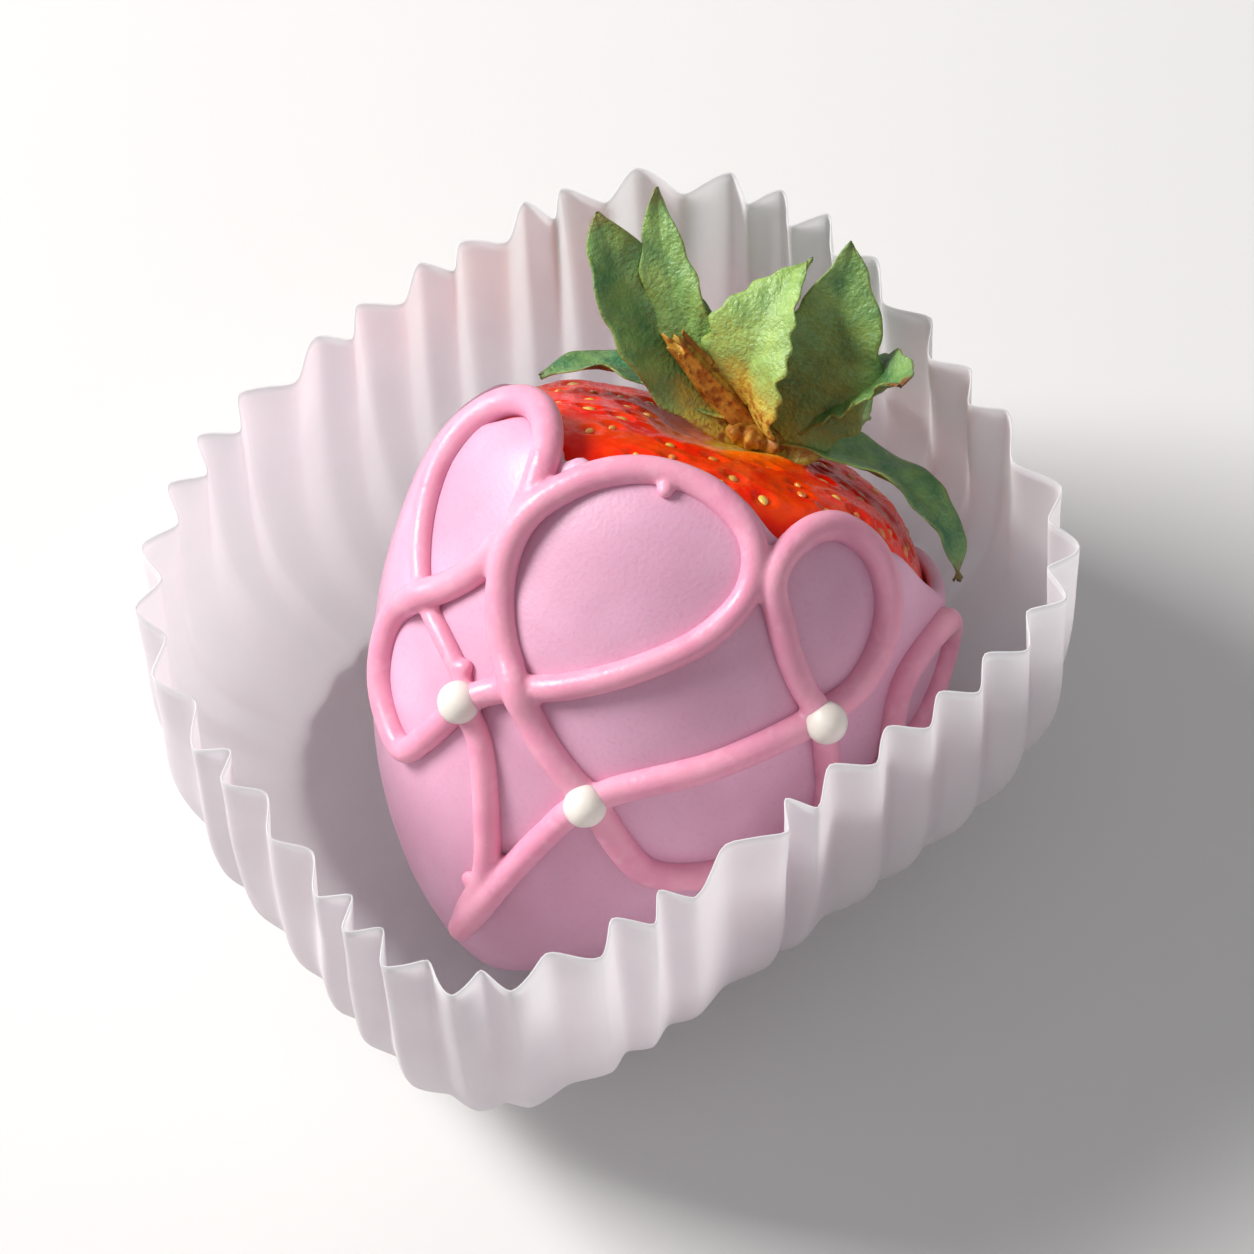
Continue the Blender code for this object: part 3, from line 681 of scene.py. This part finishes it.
def applied(piece):
    """Swaps a piece's mesh for the one that its modifiers make."""
    bpy.context.view_layer.update()
    made = bpy.data.meshes.new_from_object(piece.evaluated_get(bpy.context.evaluated_depsgraph_get()))
    piece.modifiers.clear()
    piece.data = made
    made.shade_smooth()


lines = make_piece("piped_lines", np.vstack(tube_points), tube_faces, icing, "coating")
melt = lines.modifiers.new("melt", "REMESH")
melt.mode, melt.voxel_size = "VOXEL", MELT_VOXEL
soften = lines.modifiers.new("soften", "SMOOTH")
soften.factor, soften.iterations = 0.5, MELT_SMOOTHINGS
applied(lines)
settle(lines, icing, "coating")

# %% [markdown]
# ## The sugar pearls
# The pearls are small pressed sugar balls, ivory white and dull, and none is quite round. Each starts as a
# fine ball and gets a few soft dents of its own.

# %% Pearls
PEARL_RADIUS, PEARL_LIFT = 1.6 * MM, 1.5 * MM
PEARL_ROWS, PEARL_SIDES = 32, 48

angles = np.linspace(0.0, math.pi, PEARL_ROWS + 1)[:, None]
around = np.linspace(0.0, TAU, PEARL_SIDES, endpoint=False)[None, :]
ball = as_points(np.sin(angles) * np.cos(around), np.sin(angles) * np.sin(around), -np.cos(angles))
pearl_points, pearl_faces = [], []
for k, (turn, height) in enumerate((PEARL_LEFT, PEARL_MIDDLE, PEARL_RIGHT, PEARL_FAR_RIGHT, PEARL_FAR_LEFT)):
    dented = ball * (1.0 + 0.035 * uneven(ball, 0.9, 5.0 * k))[..., None] * PEARL_RADIUS
    centre = on_berry(math.radians(turn), way_to(height * MM), FIT_GAP + COAT + PEARL_LIFT)
    points, faces = many(dented, [BERRY @ Matrix.Translation(centre)])
    pearl_faces += [[i + len(points) * k for i in face] for face in faces]
    pearl_points.append(points)
sugar = Finish("pearl_sugar", Roughness=0.38, Subsurface_Weight=0.25, Subsurface_Radius=(1.0, 0.9, 0.8),
               Subsurface_Scale=0.0008)
sugar.set(Base_Color=sugar.blend(sugar.mottle(1.5 * MM), tint(240, 235, 226), tint(228, 220, 210)))
sugar.bump(sugar.mottle(0.3 * MM, 3.0), 0.03 * MM, 0.5)
make_piece("pearls", np.vstack(pearl_points), pearl_faces, sugar, "coating")

# %% [markdown]
# ## Leaves and stalk
# The leaves of a strawberry are small pointed blades that grow from one ring round the stalk. Some stand up,
# one droops along the side and some lie flat. Each is a grid with two faces: it is folded along its middle,
# waves at its edges and thins out towards them. Its veins are shallow grooves in the mesh, and its colours
# follow numbers that the mesh carries, such as how far along and how far across the leaf a point lies.

# %% Leaf shapes
LEAF_THICKNESS = 0.42 * MM
LEAF_ROWS, LEAF_COLUMNS = 60, 20
# Each leaf: its middle and its tip in mm, the way its face looks, its width in mm and how high up it is
# widest, then from 0 to 1 how blunt and how torn it is, how yellow its foot, how light its green and how
# brown its tip
LEAVES = (
    ((-7.4, -3.5, 20.9), (-13.0, -6.4, 27.6), (0.5, -0.8, 0.3), 6.2, 0.85, 0.3, 0.2, 0.30, 0.30, 0.5),
    ((-5.2, -3.2, 22.4), (-9.9, -3.6, 30.5), (0.1, -0.9, -0.1), 3.4, 1.25, 0.0, 0.3, 0.50, 0.45, 0.4),
    ((1.2, -4.5, 22.1), (2.9, -3.0, 29.5), (-0.3, -0.9, 0.1), 6.0, 0.80, 0.1, 0.8, 0.50, 0.66, 0.2),
    ((5.6, -1.2, 22.5), (5.2, -3.3, 31.7), (0.3, -1.0, 0.1), 7.6, 0.75, 0.3, 0.3, 0.22, 0.32, 0.1),
    ((9.3, -0.3, 21.2), (12.9, -6.8, 23.2), (-0.2, -0.8, 0.6), 4.2, 1.10, 0.9, 0.9, 0.20, 0.30, 1.0),
    ((-7.5, -0.2, 16.2), (-14.2, -1.3, 13.6), (-0.3, -0.3, 0.9), 5.2, 0.85, 0.2, 0.2, 0.20, 0.05, 0.2),
    ((14.0, 2.6, 14.7), (20.0, 3.7, 9.3), (0.5, -0.2, 0.8), 4.6, 0.85, 0.3, 0.4, 0.15, 0.15, 0.5),
    ((-5.6, 6.6, 17.4), (-13.0, 12.0, 19.0), (-0.4, -0.2, 0.9), 6.0, 0.85, 0.3, 0.2, 0.30, 0.20, 0.2),
    ((5.4, 7.6, 17.6), (6.0, 14.0, 19.0), (0.2, -0.4, 0.9), 5.6, 0.85, 0.2, 0.3, 0.40, 0.30, 0.4),
    ((0.2, 8.0, 17.4), (-3.0, 15.0, 17.6), (-0.2, -0.4, 0.9), 5.6, 0.85, 0.4, 0.2, 0.30, 0.30, 0.3),
)


def leaf_half_width(part, width, belly, blunt):
    """Half a leaf's width at parts of its length: narrow at its foot, full in the middle."""
    full = np.sin(math.pi * part ** belly) ** (0.9 - 0.45 * blunt)
    return 0.5 * width * (0.34 * (1.0 - part) + 1.02 * full) + 0.2 * MM * (1.0 - part)


def leaf_faces(rows, columns, first):
    """Faces of a thin closed leaf: an upper grid, a lower grid and the rim between them."""
    under = first + rows * columns
    faces = grid_faces(rows, columns, first=first) + grid_faces(rows, columns, first=under, flip=True)
    rim = ([c for c in range(columns)] + [r * columns + columns - 1 for r in range(1, rows)]
           + [(rows - 1) * columns + c for c in range(columns - 2, -1, -1)]
           + [r * columns for r in range(rows - 2, 0, -1)])
    for here, there in zip(rim, rim[1:] + rim[:1]):
        faces.append([first + there, first + here, under + here, under + there])
    return faces


def shape_leaf(k, leaf):
    """Points of one leaf in the berry's frame, with the numbers that its colours need."""
    middle, tip, looks, width, belly, blunt, torn, yellow, light, brown = leaf
    middle, tip = np.array(middle) * MM, np.array(tip) * MM
    bend = middle * 2.0 - (HUB + tip) / 2.0
    part = np.linspace(0.0, 1.0, LEAF_ROWS)[:, None]
    across = np.linspace(-1.0, 1.0, LEAF_COLUMNS + 1)[None, :]
    rib = (1.0 - part) ** 2 * HUB + 2.0 * part * (1.0 - part) * bend + part ** 2 * tip
    along = (1.0 - part) * (bend - HUB) + part * (tip - bend)
    along /= np.linalg.norm(along, axis=1)[:, None]
    side = np.cross(along, np.array(looks))
    side /= np.linalg.norm(side, axis=1)[:, None]
    face = np.cross(side, along)
    half = leaf_half_width(part, width * MM, belly, blunt)
    edge = np.abs(across) ** 3
    tears = np.sin(11.0 * part + 2.0 * k + 2.0 * across) * np.sin(43.0 * part + 3.0 * across)
    ragged = 1.0 + edge * (0.05 * np.sin(31.0 * part + k + across) + torn * 0.16 * tears)
    fold = 0.32 * np.sqrt(across ** 2 + 0.02) * half
    wave = 0.35 * MM * across * np.sin(TAU * part * 1.4 + width)
    ripple = 0.22 * MM * across ** 2 * np.sin(TAU * part * 3.3 + 1.7 * k + 1.5 * across)
    veins = -0.12 * MM * np.exp(-(across / 0.07) ** 2) * (1.0 - part)
    side_veins = 0.07 * MM * np.cos(TAU * (part * 8.0 - 1.3 * np.abs(across)))
    side_veins = side_veins * np.sin(math.pi * np.abs(across)) * np.sin(math.pi * part)
    end = -torn * 0.9 * MM * part ** 8 * np.abs(np.sin(4.4 * across + 0.6))
    height = fold + wave + ripple + veins + side_veins
    points = (rib[:, None, :] + side[:, None, :] * (across * half * ragged)[..., None]
              + face[:, None, :] * height[..., None] + along[:, None, :] * end[..., None])
    points += face[:, None, :] * (0.10 * MM * uneven(points, 1.6 * MM, k) * np.sin(math.pi * part))[..., None]
    normal = np.cross(np.gradient(points, axis=0), np.gradient(points, axis=1))
    normal /= np.maximum(np.linalg.norm(normal, axis=-1), 1e-12)[..., None]
    thin = LEAF_THICKNESS / 2 * (1.0 - 0.65 * np.abs(across) ** 3) * (1.0 - 0.5 * part ** 4)
    off = normal * thin[..., None]
    both = np.vstack(((points + off).reshape(-1, 3), (points - off).reshape(-1, 3)))
    grid = np.zeros((LEAF_ROWS, LEAF_COLUMNS + 1))
    numbers = {"part": grid + part, "across": grid + across, "yellow": grid + yellow, "light": grid + light,
               "brown": grid + brown}
    return both, {key: np.tile(value.ravel(), 2) for key, value in numbers.items()}


leaf_points, all_leaf_faces, leaf_numbers = [], [], {}
for k, leaf in enumerate(LEAVES):
    points, numbers = shape_leaf(k, leaf)
    all_leaf_faces += leaf_faces(LEAF_ROWS, LEAF_COLUMNS + 1, len(points) * k)
    leaf_points.append(in_place(points))
    for key, values in numbers.items():
        leaf_numbers.setdefault(key, []).append(values)
leaf_numbers = {key: np.concatenate(values) for key, values in leaf_numbers.items()}

# %% [markdown]
# A leaf is green with a lighter midrib, fades to yellow at its foot, where brown streaks run down to the
# stalk, and dries at its edge and tip. Each of these is a mask made of the mesh's numbers and some noise.

# %% Leaf finish
leaf_skin = Finish("leaf_skin", Roughness=0.4, Specular_IOR_Level=0.6)
part, across = leaf_skin.painted("part"), abs(leaf_skin.painted("across"))
yellow, light, brown = leaf_skin.painted("yellow"), leaf_skin.painted("light"), leaf_skin.painted("brown")
cloud, grain = leaf_skin.mottle(2.6 * MM, 4.0, rough=0.62), leaf_skin.mottle(0.35 * MM, 4.0)
green = leaf_skin.blend(light * 0.9 + cloud * 1.1 - 0.50, tint(46, 108, 66), tint(176, 208, 106))
# Painted highlight: pale grey-green flecks on the raised grain stand for small highlights on the leaf's fine
# relief.
green = leaf_skin.blend(grain.goes(0.5, 0.75) * 0.45, green, tint(132, 178, 128))
midrib = across.goes(0.0, 0.08, 1.0, 0.0) * part.goes(0.3, 0.9, 0.5, 0.0)
green = leaf_skin.blend(midrib, green, tint(118, 146, 70))
foot = (part + cloud * 0.5 - 0.25 - yellow * 0.62).goes(-0.12, 0.12, 1.0, 0.0)
green = leaf_skin.blend(foot * 0.95, green, leaf_skin.blend(cloud, tint(170, 158, 40), tint(226, 200, 92)))
streak = leaf_skin.mottle(0.7 * MM, 3.0)
dried = foot * streak.goes(0.5, 0.62) * (part - yellow * 0.5).goes(-0.1, 0.15, 1.0, 0.3)
green = leaf_skin.blend(dried, green, tint(146, 88, 26))
green = leaf_skin.blend((across + cloud * 0.2).goes(1.02, 1.14) * 0.6, green, tint(140, 146, 52))
green = leaf_skin.blend((part + cloud * 0.16 - 0.08).goes(0.9, 0.98) * brown, green, tint(126, 74, 30))
leaf_skin.set(Base_Color=green, Roughness=grain.goes(0.3, 0.7, 0.30, 0.50))
leaf_skin.bump(grain, 0.2 * MM, 0.9)
make_piece("leaves", np.vstack(leaf_points), all_leaf_faces, leaf_skin, "calyx", leaf_numbers)

# %% [markdown]
# The leaves grow from a small yellow-green cushion. The stalk was cut off above it and its stub has dried:
# it is ribbed, brown and straw yellow, and its cut end is ragged.

# %% Cushion and stalk
HUB_RADIUS, HUB_FLATNESS = 2.9 * MM, 0.34
STALK_RADIUS, STALK_TOP = 1.0 * MM, np.array((-4.3, -5.0, 20.3)) * MM
STALK_SIDES, STALK_ROWS = 60, 60

angles = np.linspace(-math.pi / 2, math.pi / 2, 40)[:, None]
around = np.linspace(0.0, TAU, 120, endpoint=False)[None, :]
wide = HUB_RADIUS * np.cos(angles) * (1.0 + 0.10 * np.sin(10.0 * around) + 0.06 * np.sin(17.0 * around + 1.0))
cushion = HUB + as_points(wide * np.sin(around), -wide * np.cos(around),
                          HUB_FLATNESS * HUB_RADIUS * np.sin(angles))
cushion[..., 2] -= 0.5 * MM * np.sin(angles / 2 - math.pi / 4) ** 2
straw = Finish("dried_stalk", Roughness=0.55, Specular_IOR_Level=0.35)
cloud, fibre = straw.mottle(1.4 * MM, 3.0), straw.mottle(0.45 * MM, 4.0, (1.0, 1.0, 0.5))
colour = straw.blend(cloud.goes(0.35, 0.65), tint(190, 150, 56), tint(150, 92, 24))
straw.set(Base_Color=straw.blend(fibre.goes(0.48, 0.66) * 0.8, colour, tint(116, 56, 12)))
straw.bump(fibre, 0.12 * MM, 0.7)
closed_round("cushion", in_place(cushion), straw, "calyx")

part = np.linspace(0.0, 1.0, STALK_ROWS)[:, None]
around = np.linspace(0.0, TAU, STALK_SIDES, endpoint=False)[None, :]
ribs = 1.0 + 0.10 * np.sin(6.0 * around + 1.5 * part) + 0.06 * np.sin(13.0 * around + 2.0 * part)
wide = STALK_RADIUS * (1.35 - 0.35 * part + 0.12 * np.sin(5.0 * part)) * ribs
length = float(np.linalg.norm(STALK_TOP - HUB))
ragged = 0.8 * MM * np.sin(2.0 * around + 0.5) + 0.4 * MM * np.sin(7.0 * around + 1.0)
rise = length * part + ragged * part ** 6
outer = as_points(wide * np.cos(around), wide * np.sin(around), rise)
inner = outer[-1:] * np.array((0.6, 0.6, 1.0)) - np.array((0.0, 0.0, 0.8 * MM))
pinch = np.array((0.01, 0.01, 1.0))
rings = np.vstack((outer[:1] * pinch, outer, inner, inner * pinch))
lean = Matrix.Translation(HUB) @ Vector(STALK_TOP - HUB).to_track_quat("Z", "Y").to_matrix().to_4x4()
closed_round("stalk", in_place(rings, BERRY @ lean), straw, "calyx")

# %% [markdown]
# ## The paper case
# The case is one disc of thin glassine paper, pressed so that its wall folds into forty pleats that open
# towards the rim. Light comes through it, so its finish mixes a white paper surface with a shader that passes
# light on. Real pleats are never alike: each has its own width, depth and height, from a seeded draw.

# %% Case mesh
CASE_HEIGHT, PAPER = 38.0 * MM, 0.12 * MM
FOOT_HALF_X, FOOT_HALF_Y, RIM_HALF_X, RIM_HALF_Y = 20.0 * MM, 18.0 * MM, 31.2 * MM, 25.8 * MM
RIM_SHIFT = np.array((0.4, -1.1, 0.0)) * MM
FRONT_SQUARENESS, BACK_SQUARENESS = 5.0, 2.9
PLEATS, PLEAT_COLUMNS, WALL_ROWS = 40, 14, 34
PLEAT_DEPTH_FOOT, PLEAT_DEPTH_RIM = 0.4 * MM, 2.8 * MM
FOOT_ROUNDING = 6.0
# How much one pleat differs from the next, as shares of its width, depth and height
WIDTH_VARIES, LEAN_VARIES, DEPTH_VARIES, HEIGHT_VARIES = 0.24, 0.26, 0.12, 0.012
CREASE, CREASE_SIZE = 0.30 * MM, 3.4 * MM


def case_outline(turn, half_x, half_y):
    """The case's outline: a rounded rectangle, squarer in front than at the back."""
    c, s = np.cos(turn), np.sin(turn)
    power = np.where(s > 0.0, BACK_SQUARENESS, FRONT_SQUARENESS)
    reach = (np.abs(c / half_x) ** power + np.abs(s / half_y) ** power) ** (-1.0 / power)
    return as_points(reach * c, reach * s, 0.0)


fine = np.linspace(0.0, TAU, 7201)
ring = case_outline(fine, RIM_HALF_X, RIM_HALF_Y)
walked = np.concatenate(([0.0], np.cumsum(np.linalg.norm(np.diff(ring, axis=0), axis=1))))
draw = random.Random(21)
columns = PLEATS * PLEAT_COLUMNS
pleat = np.arange(columns) / PLEAT_COLUMNS
own = {key: np.array([draw.uniform(-1.0, 1.0) for _ in range(PLEATS)])
       for key in ("width", "depth", "height", "lean")}


def of_pleat(key):
    """A pleat's own number, passed smoothly from one pleat to the next."""
    values = np.append(own[key], own[key][0])
    return np.interp(pleat, np.arange(PLEATS + 1), values)


part = np.linspace(0.0, 1.0, WALL_ROWS)[:, None] ** 1.3
position = (pleat + WIDTH_VARIES * of_pleat("width"))[None, :]
position = position + LEAN_VARIES * of_pleat("lean")[None, :] * part
turn = np.interp(np.mod(position / PLEATS, 1.0) * walked[-1], walked, fine)
spread = 1.0 - (1.0 - part) ** FOOT_ROUNDING
half_x = FOOT_HALF_X + (RIM_HALF_X - FOOT_HALF_X) * spread
half_y = FOOT_HALF_Y + (RIM_HALF_Y - FOOT_HALF_Y) * spread
wall = case_outline(turn, half_x, half_y)
tangent = case_outline(turn + 0.01, half_x, half_y) - case_outline(turn - 0.01, half_x, half_y)
outward = as_points(tangent[..., 1], -tangent[..., 0], 0.0)
outward /= np.linalg.norm(outward, axis=-1)[..., None]
depth = PLEAT_DEPTH_FOOT + (PLEAT_DEPTH_RIM - PLEAT_DEPTH_FOOT) * part
depth = depth * (1.0 - DEPTH_VARIES + DEPTH_VARIES * of_pleat("depth"))
zigzag = 0.76 * np.arcsin(0.88 * np.cos(TAU * pleat))[None, :]
wall = wall + outward * (0.5 * depth * zigzag - 0.18 * MM)[..., None]
wall[..., :2] += (RIM_SHIFT[:2] * spread[..., None])
wall[..., 2] = CASE_HEIGHT * part * (0.995 + HEIGHT_VARIES * of_pleat("height")) - PAPER
wall[..., 2] = np.maximum(wall[..., 2], PAPER)
wall += outward * (CREASE * uneven(wall * np.array((1.0, 1.0, 0.3)), CREASE_SIZE) * part)[..., None]

sheet_rings = np.vstack((wall[:1] * np.array((0.0, 0.0, 1.0)), wall[:1] * np.array((0.35, 0.35, 1.0)),
                         wall[:1] * np.array((0.7, 0.7, 1.0)), wall))
wide = np.concatenate([sheet_rings, sheet_rings[:, :1]], axis=1)
normal = np.cross(np.gradient(wide, axis=1), np.gradient(wide, axis=0))[:, :-1]
normal[:3] = (0.0, 0.0, -1.0)
normal /= np.maximum(np.linalg.norm(normal, axis=-1), 1e-12)[..., None]
outer, inner = sheet_rings + normal * PAPER / 2, sheet_rings - normal * PAPER / 2
outer[:, :, 2] = np.maximum(outer[:, :, 2], 0.0)

# %% [markdown]
# Glassine glows when light falls on its other side. A little over half of this finish passes light on, and
# the rest is slightly glossy white paper with faint upright fibres.

# %% Case finish
paper = Finish("glassine", Roughness=0.42, Specular_IOR_Level=0.5)
cloud, fibre = paper.mottle(5.0 * MM, 3.0), paper.mottle(0.6 * MM, 4.0, (1.0, 1.0, 0.4))
white = paper.blend(cloud.goes(0.3, 0.7), tint(250, 249, 250), tint(243, 242, 244))
paper.set(Base_Color=paper.blend(fibre.goes(0.5, 0.8) * 0.25, white, tint(253, 253, 253)),
          Roughness=cloud.goes(0.3, 0.7, 0.32, 0.48))
paper.bump(fibre, 0.05 * MM, 0.35)
through = paper.node("ShaderNodeBsdfTranslucent", {}, {"Color": tint(252, 251, 252)})
both = paper.node("ShaderNodeMixShader", {}, {0: 0.55, 1: Wire(paper, paper.shader.outputs[0]), 2: through})
paper.feed(paper.tree.nodes["Material Output"].inputs["Surface"], both)
closed_round("case_paper", np.vstack((outer, inner[::-1])), paper, "paper_case")

# %% [markdown]
# ## The table
# A plain pale table carries the case.

# %% Floor
FLOOR_REACH = 1.5

corners = [(x * FLOOR_REACH, y * FLOOR_REACH, 0.0) for x, y in ((-1, -1), (1, -1), (1, 1), (-1, 1))]
mesh = bpy.data.meshes.new("floor")
mesh.from_pydata(corners, [], [(0, 1, 2, 3)])
floor = bpy.data.objects.new("floor", mesh)
bpy.context.scene.collection.objects.link(floor)
pale = Finish("pale_table", Roughness=0.6)
pale.set(Base_Color=pale.blend(pale.mottle(0.3), tint(222, 221, 220), tint(228, 227, 226)))
mesh.materials.append(pale.material)
